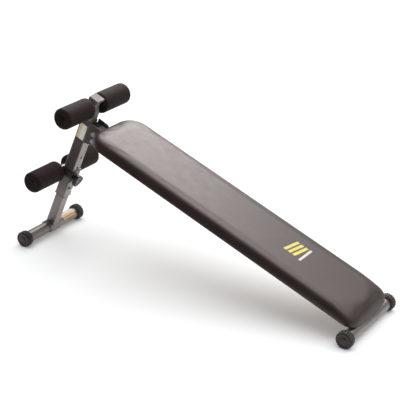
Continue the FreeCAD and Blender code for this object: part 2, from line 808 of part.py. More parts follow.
# ---------------------------------------------------------------- carriage
def roller_carriage():
    """The collar round the post: a hub in front carries the lower bar, a tab behind the lock."""
    inner = "post_size + 2 * gap"
    outer = f"{inner} + 2 * collar_wall"
    collar = box("collar_block", outer, outer, "collar_top - collar_bottom", f"-({outer}) / 2",
                 "collar_bottom")
    tab = box("collar_tab", "collar_wall", outer, "collar_top - collar_tab_bottom",
              f"({inner}) / 2", "collar_tab_bottom")
    web = box("collar_web", "-lower_bar_off - post_size / 2", "2 * hub_half_length", "hub_web",
              "lower_bar_off", "lower_bar_s - hub_web / 2")
    hub = rod("collar_hub", "hub_radius", "-hub_half_length", "hub_half_length", "lower_bar_off",
              "lower_bar_s")
    space = box("collar_space", inner, inner, "2 * through", f"-({inner}) / 2",
                "collar_bottom - through")
    bore = rod("collar_bore", "bar_radius", "-through", "through", "lower_bar_off", "lower_bar_s")
    pin_hole = stub("collar_pin_hole", "stud_radius + gap", "0", "through", "first_hole")
    return cut("collar_solid", join("collar_blocks", collar, tab, web, hub), space, bore, pin_hole)


def knob_boss():
    """The threaded boss on the carriage's tab."""
    seat = "post_size / 2 + gap + collar_wall"
    boss = stub("boss_block", "boss_radius", seat, "boss_end", "first_hole")
    bore = stub("boss_bore", "stud_radius + pin_clearance", "0", "through", "first_hole")
    return cut("boss_solid", boss, bore)


def lock_stud():
    """The lock screw's plain tip and shank, up into the knob."""
    shank = stub("stud_shank", "stud_radius", "stud_tip", "knob_end - knob_cover - gap",
                 "first_hole")
    return group("stud_set", shank)


def knob_stub(radius, start, end):
    """A cylinder on the knob's axis."""
    base = Vector(start, 0, size("first_hole"))
    return Part.makeCylinder(radius, end - start, base, Vector(1, 0, 0))


def lock_knob():
    """A knob with three lobes, recessed over the boss and bored for the screw's shank."""
    back = size("knob_back")
    end = size("knob_end")
    body = knob_stub(size("knob_radius"), back, end)
    for lobe in range(3):
        angle = math.radians(size("knob_turn") + 120 * lobe)
        spot = Vector(0, math.sin(angle), math.cos(angle)) * size("knob_scoop_centre")
        base = Vector(back, spot.y, size("first_hole") + spot.z)
        body = body.cut(Part.makeCylinder(size("knob_scoop_radius"), end - back, base,
                                          Vector(1, 0, 0)))
    middle = (back + end) / 2
    ridges = [edge for edge in edges_near(body, lambda p: abs(p.x - middle) < 0.01)
              if len(body.ancestorsOfType(edge, Part.Face)) == 2]
    body = body.makeFillet(size("knob_ridge"), ridges)
    body = body.makeFillet(size("knob_edge"), edges_near(body, lambda p: abs(p.x - end) < 0.01))
    recess = knob_stub(size("knob_recess_radius"), back, back + size("knob_recess_depth"))
    bore = knob_stub(size("stud_radius") + size("pin_clearance"), back, end - size("knob_cover"))
    return solid_feature("knob_solid", body.cut(recess).cut(bore))


# ---------------------------------------------------------------- leg
def front_foot_in_post():
    """The front foot's axis, in the post frame."""
    return POST.inverse().multVec(FRONT_FOOT.Base)


def leg_inner_tube():
    """The square leg, coped at its foot onto the saddle."""
    foot = front_foot_in_post()
    tube = square_tube("leg_square", "leg_size", "leg_size", "leg_wall", f"leg_top - {foot.z}")
    tube.Placement = Placement(Vector(0, 0, foot.z), Rotation())
    cope = rod("leg_cope", "foot_radius + saddle_thickness", "-leg_size", "leg_size",
               f"{foot.x}", f"{foot.z}")
    return cut("leg_solid", tube, cope)


def foot_saddle():
    """A half-round plate over the foot tube, under the leg."""
    foot = front_foot_in_post()
    where = (f"{foot.x}", f"{foot.z}")
    outer = rod("saddle_outer", "foot_radius + saddle_thickness", "-saddle_half_length",
                "saddle_half_length", *where)
    inner = rod("saddle_inner", "foot_radius", "-saddle_half_length", "saddle_half_length", *where)
    under = box("saddle_under", "through", "through", "through", f"{foot.x} - through / 2",
                f"{foot.z} - through - foot_radius / 3")
    return cut("saddle_solid", outer, inner, under)


def post_pieces():
    """Everything that stands in the post frame except the rollers."""
    clamp_bolt, clamp_washer = leg_clamp()
    for piece, label in (
            (post_outer_tube(), "post_outer_tube"),
            (hinge_bracket(), "hinge_bracket"),
            (leg_guide_sleeve(), "leg_guide_sleeve"),
            (clamp_bolt, "leg_clamp_bolt"),
            (clamp_washer, "leg_clamp_washer"),
            (upper_roller_holder(), "upper_roller_holder"),
            (roller_carriage(), "roller_carriage"),
            (knob_boss(), "knob_boss"),
            (lock_stud(), "lock_stud"),
            (lock_knob(), "lock_knob"),
            (leg_inner_tube(), "leg_inner_tube"),
            (foot_saddle(), "foot_saddle")):
        node(piece, label, POST)


# ---------------------------------------------------------------- checks and files
def check_document():
    """Stop if any feature failed or any sub-part has a bad shape."""
    doc.recompute()
    for item in doc.Objects:
        if "Invalid" in item.State or "Error" in item.State:
            raise SystemExit(f"{item.Name} failed: {item.State}")
    for piece in NODES:
        if piece.Shape.isNull() or not piece.Shape.isValid() or not piece.Shape.Solids:
            raise SystemExit(f"{piece.Label} has a bad shape")


def write_parts():
    """One STEP file for each sub-part."""
    os.makedirs("parts", exist_ok=True)
    for piece in NODES:
        piece.Shape.exportStep(os.path.join("parts", f"{piece.Label}.step"))


def report_bounds():
    """Print the bench's overall box, to keep the origin under its middle."""
    total = FreeCAD.BoundBox()
    for piece in NODES:
        total.add(piece.Shape.BoundBox)
    print(f"{len(NODES)} sub-parts, X {total.XMin:.2f} to {total.XMax:.2f}, "
          f"Y {total.YMin:.2f} to {total.YMax:.2f}, Z {total.ZMin:.2f} to {total.ZMax:.2f}")


beam_pieces()
hinge_pieces()
post_pieces()
roller_pairs()
foot_pieces("front", FRONT_FOOT)
foot_pieces("rear", REAR_FOOT)
check_document()
write_parts()
report_bounds()
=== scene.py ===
"""Looks of the decline sit-up bench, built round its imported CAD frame.

Metres, in the frame's own axes: +X runs along the bench to the low rear end, +Y across it, +Z up.
Two local frames carry most pieces, as in the CAD model: the beam frame at the fold pivot (X down
the beam, Z out of the pad) and the post frame (X out of the post's rear face, Z up the post).
"""

import json
import math

import bmesh
import bpy
from mathutils import Matrix, Vector, noise
from mathutils.bvhtree import BVHTree


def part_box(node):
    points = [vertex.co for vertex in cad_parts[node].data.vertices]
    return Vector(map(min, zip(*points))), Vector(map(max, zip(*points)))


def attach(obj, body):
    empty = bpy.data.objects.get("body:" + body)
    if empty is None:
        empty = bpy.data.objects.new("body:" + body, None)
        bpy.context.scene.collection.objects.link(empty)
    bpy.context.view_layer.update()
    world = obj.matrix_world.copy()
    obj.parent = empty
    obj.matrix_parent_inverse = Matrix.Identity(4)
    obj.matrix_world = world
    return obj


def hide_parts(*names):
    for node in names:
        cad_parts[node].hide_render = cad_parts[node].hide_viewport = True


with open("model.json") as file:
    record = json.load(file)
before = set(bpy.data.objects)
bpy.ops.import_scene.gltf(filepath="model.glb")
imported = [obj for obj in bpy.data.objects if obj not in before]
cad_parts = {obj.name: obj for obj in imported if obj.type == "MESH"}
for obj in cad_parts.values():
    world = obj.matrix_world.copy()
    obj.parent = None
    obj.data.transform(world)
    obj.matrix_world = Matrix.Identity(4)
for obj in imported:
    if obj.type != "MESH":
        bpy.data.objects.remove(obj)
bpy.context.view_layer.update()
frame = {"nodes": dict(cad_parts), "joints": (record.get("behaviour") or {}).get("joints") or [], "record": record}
FULL_TURN = 2 * math.pi

# ---------------------------------------------------------------- driving dimensions
BEAM_SLOPE = math.radians(21.3)
POST_LEAN = math.radians(23.8)
FOOT_HEIGHT = 0.0304
FOOT_RADIUS = 0.0225

PAD_FRONT = 0.028
PAD_LENGTH = 1.191
PAD_HALF = 0.137
PAD_FRONT_CORNER = 0.078
PAD_REAR_CORNER = 0.044
PAD_REAR_BOW = 0.004
PAD_UNDER = 0.053
PAD_TOP = 0.0955
PAD_HEM = PAD_UNDER - 0.0007
BOARD_MIDDLE = 0.058
PAD_SHOULDER = 0.0715
REAR_ROLL = 0.055
REAR_ROLL_SIDE = 0.110
REAR_SQUASH = 0.66
FRONT_ROLL = 0.085
FRONT_SQUASH = 0.26

FOAM_RADIUS = 0.040
FOAM_INNER = 0.029
FOAM_OUTER = 0.1845
FOAM_EDGE = 0.013
UPPER_BAR = (-0.004, 0.6266)
LOWER_BAR = (-0.0385, 0.300)

CAP_RADIUS = 0.031
CAP_INNER = 0.140
CAP_OUTER = 0.170
CAP_RIBS = 20
CAP_RIB_DEPTH = 0.0030
CAP_BORE = 0.011

POST_HALF = 0.0225
LEG_HALF = 0.019
BEAM_HALF = 0.025
BEAM_LOW = 0.010
BEAM_HIGH = 0.050
STRAP_PLACES = (0.277, 0.708)
STRAP_HALF = 0.015
SADDLE_RADIUS = 0.0265
SADDLE_HALF = 0.030

KNOB_HEIGHT = 0.297
KNOB_BACK = 0.0320
KNOB_END = 0.0490
KNOB_RECESS = 0.0060
KNOB_COVER = 0.0040
KNOB_RADIUS = 0.0230

WARM_WHITE = (1.0, 0.945, 0.93)

JOINTS = {joint["name"]: joint for joint in frame["joints"]}
PIVOT = Vector(JOINTS["post_fold"]["pos_m"])
BEAM = Matrix.Translation(PIVOT) @ Matrix.Rotation(BEAM_SLOPE, 4, "Y")
UPPER_SPIN = Vector(JOINTS["upper_left_spin"]["pos_m"])
POST_GROUND_X = UPPER_SPIN.x - UPPER_BAR[0] * math.cos(POST_LEAN) - UPPER_BAR[1] * math.sin(POST_LEAN)
POST = Matrix.Translation((POST_GROUND_X, 0, 0)) @ Matrix.Rotation(POST_LEAN, 4, "Y")


# ---------------------------------------------------------------- material helpers
class Nodes:
    """A material's node tree, with short ways to add and link nodes."""

    def __init__(self, name):
        self.material = bpy.data.materials.new(name)
        self.material.use_nodes = True
        self.tree = self.material.node_tree
        self.shader = self.tree.nodes["Principled BSDF"]
        self.place = self.add("ShaderNodeTexCoord").outputs["Object"]

    def add(self, kind, **values):
        """A node with input values given by socket name, or properties of the node itself."""
        made = self.tree.nodes.new(kind)
        for key, value in values.items():
            if key in made.inputs:
                made.inputs[key].default_value = value
            else:
                setattr(made, key, value)
        return made

    def link(self, source, target):
        self.tree.links.new(source, target)

    def set(self, **values):
        """Plain values on the shader's own sockets; an underscore stands for a space."""
        for key, value in values.items():
            self.shader.inputs[key.replace("_", " ")].default_value = value

    def noise(self, scale, detail=3.0, roughness=0.5, stretch=None):
        """A noise value between 0 and 1; stretch scales the coordinates first."""
        made = self.add("ShaderNodeTexNoise", Scale=scale, Detail=detail, Roughness=roughness)
        place = self.place
        if stretch:
            mapping = self.add("ShaderNodeMapping", Scale=stretch)
            self.link(place, mapping.inputs["Vector"])
            place = mapping.outputs["Vector"]
        self.link(place, made.inputs["Vector"])
        return made.outputs["Fac"]

    def cells(self, scale, feature="F1", randomness=1.0):
        """Distance in a cell pattern."""
        made = self.add("ShaderNodeTexVoronoi", Scale=scale, Randomness=randomness)
        made.feature = feature
        self.link(self.place, made.inputs["Vector"])
        return made.outputs["Distance"]

    def ramp(self, value, low, high, start, end):
        """Map a value from low..high to start..end, clamped."""
        made = self.add("ShaderNodeMapRange")
        for key, number in (("From Min", low), ("From Max", high), ("To Min", start), ("To Max", end)):
            made.inputs[key].default_value = number
        self.link(value, made.inputs["Value"])
        return made.outputs["Result"]

    def colours(self, value, *stops):
        """A colour ramp; each stop is a place and a colour."""
        made = self.add("ShaderNodeValToRGB")
        ramp = made.color_ramp
        while len(ramp.elements) < len(stops):
            ramp.elements.new(1.0)
        for element, (place, colour) in zip(ramp.elements, stops):
            element.position = place
            element.color = (*colour, 1)
        self.link(value, made.inputs["Fac"])
        return made.outputs["Color"]

    def math(self, operation, first, second):
        """A sum, product and so on of two values; either may be a number."""
        made = self.add("ShaderNodeMath", operation=operation)
        for index, value in enumerate((first, second)):
            if isinstance(value, (int, float)):
                made.inputs[index].default_value = value
            else:
                self.link(value, made.inputs[index])
        return made.outputs["Value"]

    def bump(self, *layers, radius=0.0):
        """Stack bump layers, each a height, a strength and a depth in metres, over rounded edges."""
        normal = None
        if radius:
            bevel = self.add("ShaderNodeBevel", Radius=radius)
            bevel.samples = 6
            normal = bevel.outputs["Normal"]
        for height, strength, depth in layers:
            made = self.add("ShaderNodeBump", Strength=strength, Distance=depth)
            self.link(height, made.inputs["Height"])
            if normal:
                self.link(normal, made.inputs["Normal"])
            normal = made.outputs["Normal"]
        self.link(normal, self.shader.inputs["Normal"])


# ---------------------------------------------------------------- materials
def paint_material(name, dark, light, metallic, roughness, coat):
    """Satin metallic powder coat: fine orange peel, flakes and slow colour drift."""
    nodes = Nodes(name)
    drift = nodes.noise(9, 4)
    flakes = nodes.noise(2600, 2)
    mixed = nodes.math("ADD", nodes.math("MULTIPLY", drift, 0.7), nodes.math("MULTIPLY", flakes, 0.3))
    nodes.link(nodes.colours(mixed, (0.35, dark), (0.65, light)), nodes.shader.inputs["Base Color"])
    rough = nodes.ramp(nodes.noise(45, 5), 0.3, 0.7, roughness - 0.05, roughness + 0.07)
    nodes.link(rough, nodes.shader.inputs["Roughness"])
    nodes.set(Metallic=metallic, Coat_Weight=coat, Coat_Roughness=0.22)
    nodes.bump((nodes.noise(700, 2), 0.12, 0.0004), (flakes, 0.05, 0.0001), radius=0.0009)
    return nodes.material


def plastic_material(name, dark, light, roughness, grain=900):
    """Moulded plastic with a fine spark-eroded grain."""
    nodes = Nodes(name)
    nodes.link(nodes.colours(nodes.noise(30, 4), (0.3, dark), (0.7, light)),
               nodes.shader.inputs["Base Color"])
    rough = nodes.ramp(nodes.noise(60, 4), 0.3, 0.7, roughness - 0.06, roughness + 0.08)
    nodes.link(rough, nodes.shader.inputs["Roughness"])
    nodes.bump((nodes.noise(grain, 3), 0.18, 0.0004), radius=0.0006)
    return nodes.material


def vinyl_material():
    """Dark brown-black upholstery vinyl with a fine leather grain."""
    nodes = Nodes("pad_vinyl")
    dark, light = (0.028, 0.0155, 0.0130), (0.038, 0.0205, 0.0170)
    nodes.link(nodes.colours(nodes.noise(14, 5), (0.3, dark), (0.7, light)),
               nodes.shader.inputs["Base Color"])
    rough = nodes.ramp(nodes.noise(35, 5), 0.3, 0.7, 0.44, 0.50)
    nodes.link(rough, nodes.shader.inputs["Roughness"])
    nodes.set(Specular_IOR_Level=0.5)
    creases = nodes.ramp(nodes.cells(620, "DISTANCE_TO_EDGE"), 0.0, 0.35, 0.0, 1.0)
    nodes.bump((nodes.noise(60, 3), 0.10, 0.0012), (creases, 0.20, 0.0003),
               (nodes.noise(2200, 2), 0.10, 0.0002))
    return nodes.material


def foam_material():
    """Closed-cell black foam: matt, with fine open pores."""
    nodes = Nodes("roller_foam")
    dark, light = (0.0120, 0.0052, 0.0042), (0.0210, 0.0105, 0.0088)
    nodes.link(nodes.colours(nodes.noise(90, 6), (0.32, dark), (0.68, light)),
               nodes.shader.inputs["Base Color"])
    nodes.set(Roughness=0.80, Specular_IOR_Level=0.25, Sheen_Weight=0.03, Sheen_Roughness=0.5)
    pores = nodes.ramp(nodes.cells(900), 0.05, 0.45, 0.0, 1.0)
    nodes.bump((nodes.noise(160, 4), 0.16, 0.0012), (pores, 0.35, 0.0005))
    return nodes.material


def rubber_material():
    """Black rubber of the foot caps, scuffed and a little dusty."""
    nodes = Nodes("foot_rubber")
    dark, light = (0.0140, 0.0095, 0.0088), (0.0400, 0.0310, 0.0290)
    nodes.link(nodes.colours(nodes.noise(120, 6, 0.65), (0.36, dark), (0.72, light)),
               nodes.shader.inputs["Base Color"])
    rough = nodes.ramp(nodes.noise(80, 4), 0.3, 0.7, 0.42, 0.62)
    nodes.link(rough, nodes.shader.inputs["Roughness"])
    nodes.bump((nodes.noise(500, 4), 0.25, 0.0005))
    return nodes.material


def steel_material():
    """Bright zinc plating with fine turning marks."""
    nodes = Nodes("zinc_steel")
    dark, light = (0.62, 0.61, 0.60), (0.80, 0.79, 0.78)
    nodes.link(nodes.colours(nodes.noise(220, 4), (0.3, dark), (0.7, light)),
               nodes.shader.inputs["Base Color"])
    nodes.set(Metallic=0.7)
    rough = nodes.ramp(nodes.noise(300, 3), 0.3, 0.7, 0.34, 0.50)
    nodes.link(rough, nodes.shader.inputs["Roughness"])
    nodes.bump((nodes.noise(900, 2), 0.08, 0.0002), radius=0.0004)
    return nodes.material


def plywood_material():
    """Plywood seen from below: long grain with darker veins."""
    nodes = Nodes("plywood")
    grain = nodes.noise(60, 6, 0.6, stretch=(0.08, 1, 1))
    nodes.link(nodes.colours(grain, (0.3, (0.30, 0.17, 0.08)), (0.5, (0.46, 0.29, 0.15)),
                             (0.7, (0.56, 0.38, 0.21))), nodes.shader.inputs["Base Color"])
    nodes.set(Roughness=0.72)
    nodes.bump((grain, 0.3, 0.0006))
    return nodes.material


def sticker_material(name, dark, light):
    """Printed film: even colour with a slight gloss."""
    nodes = Nodes(name)
    nodes.link(nodes.colours(nodes.noise(70, 3), (0.3, dark), (0.7, light)),
               nodes.shader.inputs["Base Color"])
    rough = nodes.ramp(nodes.noise(50, 3), 0.3, 0.7, 0.34, 0.46)
    nodes.link(rough, nodes.shader.inputs["Roughness"])
    nodes.bump((nodes.noise(300, 2), 0.05, 0.0003))
    return nodes.material


FRAME_PAINT = paint_material("frame_paint", (0.180, 0.157, 0.145), (0.275, 0.243, 0.227), 0.75, 0.38, 0.30)
DARK_PAINT = paint_material("dark_paint", (0.050, 0.043, 0.038), (0.100, 0.086, 0.076), 0.70, 0.34, 0.35)
HOLDER_PAINT = paint_material("holder_paint", (0.180, 0.160, 0.152), (0.230, 0.206, 0.198), 0.0, 0.60, 0.0)
BLACK_PLASTIC = plastic_material("black_plastic", (0.008, 0.0075, 0.007), (0.016, 0.015, 0.014), 0.40)
KNOB_PLASTIC = plastic_material("knob_plastic", (0.026, 0.020, 0.018), (0.042, 0.033, 0.030), 0.36)
PAD_VINYL = vinyl_material()
ROLLER_FOAM = foam_material()
FOOT_RUBBER = rubber_material()
ZINC_STEEL = steel_material()
PLYWOOD = plywood_material()
FILM_WHITE = sticker_material("film_white", (0.66, 0.63, 0.59), (0.76, 0.73, 0.69))
FILM_TAN = sticker_material("film_tan", (0.62, 0.42, 0.24), (0.74, 0.53, 0.32))
FILM_BROWN = sticker_material("film_brown", (0.26, 0.17, 0.08), (0.36, 0.25, 0.12))
PRINT_YELLOW = sticker_material("print_yellow", (0.62, 0.56, 0.06), (0.74, 0.68, 0.10))

SLOT_MATERIALS = {
    "frame_paint": FRAME_PAINT, "dark_paint": DARK_PAINT, "holder_paint": HOLDER_PAINT,
    "black_plastic": BLACK_PLASTIC, "knob_plastic": KNOB_PLASTIC, "pad_vinyl": PAD_VINYL,
    "roller_foam": ROLLER_FOAM, "foot_rubber": FOOT_RUBBER, "zinc_steel": ZINC_STEEL,
    "plywood": PLYWOOD,
}


def finish_cad_nodes():
    """Give each carried-over CAD node the material of its own slot."""
    slots = {part["node"]: part["material_slot"] for part in frame["record"]["subparts"]}
    for name, cad in frame["nodes"].items():
        material = SLOT_MATERIALS[slots[name]]
        if not cad.material_slots:
            cad.data.materials.append(material)
        for holder in cad.material_slots:
            holder.material = material


# ---------------------------------------------------------------- mesh helpers
def add_piece(name, mesh, material, body, place=None, sharp=35):
    """Link a mesh as a piece that rides on a body, with smooth faces and sharp edges kept."""
    if place is not None:
        mesh.transform(place)
    mesh.update()
    mesh.polygons.foreach_set("use_smooth", [True] * len(mesh.polygons))
    mesh.set_sharp_from_angle(angle=math.radians(sharp))
    piece = bpy.data.objects.new(name, mesh)
    bpy.context.scene.collection.objects.link(piece)
    mesh.materials.append(material)
    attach(piece, body)
    return piece


def mesh_from(name, points, faces):
    """A mesh from points and faces, with its faces turned outwards."""
    mesh = bpy.data.meshes.new(name)
    mesh.from_pydata([tuple(point) for point in points], [], faces)
    work = bmesh.new()
    work.from_mesh(mesh)
    bmesh.ops.recalc_face_normals(work, faces=work.faces)
    work.to_mesh(mesh)
    work.free()
    return mesh


def skin_rings(rings, closed_start=True, closed_end=True):
    """Points and faces of closed rings joined in order; open ends get one cap face each."""
    count = len(rings[0])
    points = [point for ring in rings for point in ring]
    faces = []
    for level in range(len(rings) - 1):
        for index in range(count):
            after = (index + 1) % count
            faces.append((level * count + index, level * count + after,
                          (level + 1) * count + after, (level + 1) * count + index))
    if closed_start:
        faces.append(tuple(range(count))[::-1])
    if closed_end:
        last = (len(rings) - 1) * count
        faces.append(tuple(range(last, last + count)))
    return points, faces


def arc_points(centre, radius, start, end, steps):
    """Points of an arc in a plane, angles in degrees."""
    angles = [math.radians(start + (end - start) * step / steps) for step in range(steps + 1)]
    return [(centre[0] + radius * math.cos(a), centre[1] + radius * math.sin(a)) for a in angles]


def turned(profile, segments, shape=None):
    """Rings round the Y axis from a profile of (y, radius); shape(angle, y, radius) may change it."""
    rings = []
    for y, radius in profile:
        ring = []
        for step in range(segments):
            angle = FULL_TURN * step / segments
            reach = shape(angle, y, radius) if shape else radius
            ring.append(Vector((reach * math.sin(angle), y, reach * math.cos(angle))))
        rings.append(ring)
    return rings


# ---------------------------------------------------------------- pad
def pad_outline(inset, end_steps, side_steps):
    """Half of the pad's outline at y >= 0, moved inwards: front middle, side, rear middle.

    Returns the front run, the side run and the rear run, which meet half way round each corner.
    """
    front = PAD_FRONT + inset
    half = PAD_HALF - inset
    rear = PAD_FRONT + PAD_LENGTH - inset
    corner = PAD_FRONT_CORNER - inset
    rear_corner = PAD_REAR_CORNER - inset
    bow = (PAD_HALF ** 2 + PAD_REAR_BOW ** 2) / (2 * PAD_REAR_BOW) - inset
    bow_centre = rear - bow
    corner_y = half - rear_corner
    corner_u = bow_centre + math.sqrt((bow - rear_corner) ** 2 - corner_y ** 2)
    turn = math.degrees(math.atan2(corner_y, corner_u - bow_centre))
    fine = 24
    front_arc = arc_points((front + corner, half - corner), corner, 180, 90, 2 * fine)
    rear_arc = arc_points((corner_u, corner_y), rear_corner, 90, turn, 2 * fine)
    bow_arc = arc_points((bow_centre, 0), bow, turn, 0, 2 * fine)
    runs = ([(front, 0)] + front_arc[:fine + 1], front_arc[fine:] + rear_arc[:fine + 1],
            rear_arc[fine:] + bow_arc[1:])
    steps = (end_steps, side_steps, end_steps)
    return [resample(run, count) for run, count in zip(runs, steps)]


def resample(run, steps):
    """The same line with evenly spaced points."""
    lengths = [0.0]
    for (ax, ay), (bx, by) in zip(run, run[1:]):
        lengths.append(lengths[-1] + math.hypot(bx - ax, by - ay))
    points = []
    index = 0
    for step in range(steps + 1):
        target = lengths[-1] * step / steps
        while index < len(run) - 2 and lengths[index + 1] < target:
            index += 1
        span = max(lengths[index + 1] - lengths[index], 1e-12)
        share = min(max((target - lengths[index]) / span, 0.0), 1.0)
        points.append((run[index][0] + (run[index + 1][0] - run[index][0]) * share,
                       run[index][1] + (run[index + 1][1] - run[index][1]) * share))
    return points


END_STEPS = 14
SIDE_STEPS = 110


def pad_ring(inset, height):
    """The whole outline as one closed ring, from the front middle round the +Y side."""
    front, side, rear = pad_outline(inset, END_STEPS, SIDE_STEPS)
    half = front[:-1] + side[:-1] + rear
    other = [(u, -y) for u, y in half[1:-1]][::-1]
    return [Vector((u, y, height)) for u, y in half + other]


def pad_lid(ring_offset, inset, height):
    """A level grid that fills the ring of that inset: its inner points and a maker of its faces."""
    front, side, rear = pad_outline(inset, END_STEPS, SIDE_STEPS)
    half = len(front) + len(side) + len(rear) - 3
    total = 2 * half
    left_front = [(u, -y) for u, y in front[::-1]] + front[1:]
    left_rear = [(u, -y) for u, y in rear] + rear[::-1][1:]
    across = len(left_front) - 1
    top, low = side, [(u, -y) for u, y in side]

    def blend(i, j):
        s, t = i / SIDE_STEPS, j / across
        corners = [low[0], top[0], low[-1], top[-1]]
        point = []
        for axis in (0, 1):
            rails = (1 - t) * low[i][axis] + t * top[i][axis]
            ends = (1 - s) * left_front[j][axis] + s * left_rear[j][axis]
            flat = ((1 - s) * ((1 - t) * corners[0][axis] + t * corners[1][axis])
                    + s * ((1 - t) * corners[2][axis] + t * corners[3][axis]))
            point.append(rails + ends - flat)
        return point

    points = []
    index = {}
    for i in range(SIDE_STEPS + 1):
        for j in range(across + 1):
            if i in (0, SIDE_STEPS) or j in (0, across):
                continue
            u, y = blend(i, j)
            index[i, j] = ("inner", len(points))
            points.append(Vector((u, y, height)))
    for j in range(across + 1):
        offset = j - across // 2
        index[0, j] = ("ring", offset % total)
        index[SIDE_STEPS, j] = ("ring", (half - offset) % total)
    for i in range(SIDE_STEPS + 1):
        index[i, across] = ("ring", END_STEPS + i)
        index[i, 0] = ("ring", (total - END_STEPS - i) % total)

    def number(key, start):
        kind, value = index[key]
        return value + (ring_offset if kind == "ring" else start)

    def faces(start):
        return [tuple(number(key, start) for key in ((i, j), (i + 1, j), (i + 1, j + 1), (i, j + 1)))
                for i in range(SIDE_STEPS) for j in range(across)]

    return points, faces


def pad_profile():
    """The cover's section from the hem under the board to the top: (inset, height) pairs."""
    fold = 0.0045
    profile = [(0.034, PAD_UNDER + 0.0006)]
    profile += [(inset, PAD_HEM) for inset in (0.034, 0.026, 0.018, 0.010)]
    profile += [(fold - 0.0035 * math.sin(a), PAD_HEM + fold - fold * math.cos(a))
                for a in (0.0, 0.5, 1.0, math.pi / 2)]
    profile += [(0.0006, PAD_UNDER + 0.008), (0.0004, PAD_UNDER + 0.012), (0.0008, PAD_UNDER + 0.016)]
    edge = 0.023
    shoulder = PAD_TOP - 0.0015 - edge
    for step in range(9):
        angle = math.pi / 2 * step / 8
        profile.append((0.001 + edge * (1 - math.cos(angle)), shoulder + edge * math.sin(angle)))
    profile += [(0.030, PAD_TOP - 0.0010), (0.036, PAD_TOP - 0.0005), (0.041, PAD_TOP)]
    return profile


def pad_mesh():
    """The closed cover: hem, sides, soft top edge and the flat top, before it is inflated."""
    profile = pad_profile()
    rings = [pad_ring(inset, height) for inset, height in profile]
    points, faces = skin_rings(rings, closed_start=False, closed_end=False)
    count = len(rings[0])
    for level, height in ((len(rings) - 1, PAD_TOP), (0, BOARD_MIDDLE)):
        inset = profile[level][0]
        extra, build = pad_lid(level * count, inset, height)
        faces += build(len(points))
        points += extra
    return mesh_from("pad_cover", points, faces)


def inflate(piece, held, pressure, frames, limit):
    """Blow a closed cloth up a little, with some points held, and keep each move under a limit."""
    rest = [vertex.co.copy() for vertex in piece.data.vertices]
    group = piece.vertex_groups.new(name="held")
    group.add(held, 1.0, "REPLACE")
    cloth = piece.modifiers.new("cloth", "CLOTH")
    settings = cloth.settings
    settings.quality = 8
    settings.mass = 0.3
    settings.tension_stiffness = 40
    settings.compression_stiffness = 40
    settings.shear_stiffness = 20
    settings.bending_stiffness = 6
    settings.use_pressure = True
    settings.uniform_pressure_force = pressure
    settings.vertex_group_mass = "held"
    settings.effector_weights.gravity = 0
    cloth.point_cache.frame_start = 1
    cloth.point_cache.frame_end = frames
    scene = bpy.context.scene
    for number in range(1, frames + 1):
        scene.frame_set(number)
    ready = piece.evaluated_get(bpy.context.evaluated_depsgraph_get())
    moved = [vertex.co.copy() for vertex in ready.data.vertices]
    piece.modifiers.remove(cloth)
    piece.vertex_groups.remove(group)
    for vertex, start, end in zip(piece.data.vertices, rest, moved):
        step = end - start
        vertex.co = start + step * (limit * math.tanh(step.length / limit) / max(step.length, 1e-9))
    scene.frame_set(1)


def crown(mesh, rise):
    """Raise the top gently towards its centre line, as foam does under a stretched cover."""
    depth, fade = 0.012, 0.10
    for vertex in mesh.vertices:
        u, y, h = vertex.co
        if h < PAD_TOP - depth:
            continue
        along = min((u - PAD_FRONT) / fade, (PAD_FRONT + PAD_LENGTH - u) / fade, 1.0)
        side = max(0.0, 1 - (y / PAD_HALF) ** 2)
        vertex.co.z += rise * side * math.sin(math.pi / 2 * max(along, 0.0))


def rear_edge(y):
    """How far down the bench the bowed rear end reaches at a distance from the middle."""
    bow = (PAD_HALF ** 2 + PAD_REAR_BOW ** 2) / (2 * PAD_REAR_BOW)
    return PAD_FRONT + PAD_LENGTH - bow + math.sqrt(bow ** 2 - min(abs(y), PAD_HALF) ** 2)


def roll_ends(mesh):
    """Thin the pad softly towards both ends, most at the low rear end."""
    for vertex in mesh.vertices:
        u, y, h = vertex.co
        if h <= PAD_UNDER:
            continue
        rear = 1 - (rear_edge(y) - u) / (REAR_ROLL + REAR_ROLL_SIDE * (y / PAD_HALF) ** 2)
        front = 1 - (u - PAD_FRONT) / FRONT_ROLL
        height = h - PAD_UNDER
        for amount, squash in ((rear, REAR_SQUASH), (front, FRONT_SQUASH)):
            if amount > 0:
                bend = 1 - math.sqrt(max(0.0, 1 - min(amount, 1.0) ** 2))
                height *= 1 - squash * bend
        vertex.co.z = PAD_UNDER + height


def pucker(mesh):
    """Shallow gathers where the cover turns under the round corners."""
    gathers, depth, reach = 34, 0.00035, 0.016
    front = PAD_FRONT + PAD_FRONT_CORNER
    rear = PAD_FRONT + PAD_LENGTH - 0.06
    for vertex in mesh.vertices:
        u, y, h = vertex.co
        low = max(0.0, 1 - abs(h - PAD_UNDER) / reach)
        centre = Vector((front, math.copysign(PAD_HALF - PAD_FRONT_CORNER, y), h))
        if u > rear:
            centre = Vector((rear, math.copysign(PAD_HALF - PAD_REAR_CORNER, y), h))
        if front < u < rear or low == 0.0:
            continue
        spoke = vertex.co - centre
        if abs(y) < PAD_HALF - PAD_FRONT_CORNER:
            continue
        wave = math.cos(gathers * math.atan2(spoke.y, spoke.x))
        vertex.co += spoke.normalized() * depth * low * wave


def build_pad():
    """The upholstered pad: an inflated vinyl cover on foam and board."""
    mesh = pad_mesh()
    piece = add_piece("pad_cover", mesh, PAD_VINYL, "bench", sharp=180)
    held = [vertex.index for vertex in mesh.vertices if vertex.co.z < PAD_SHOULDER]
    inflate(piece, held, 1.5, 16, 0.0012)
    crown(mesh, 0.0022)
    roll_ends(mesh)
    subdivide(piece, 1)
    pucker(piece.data)
    piece.data.transform(BEAM)
    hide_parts("bench_pad")
    return piece


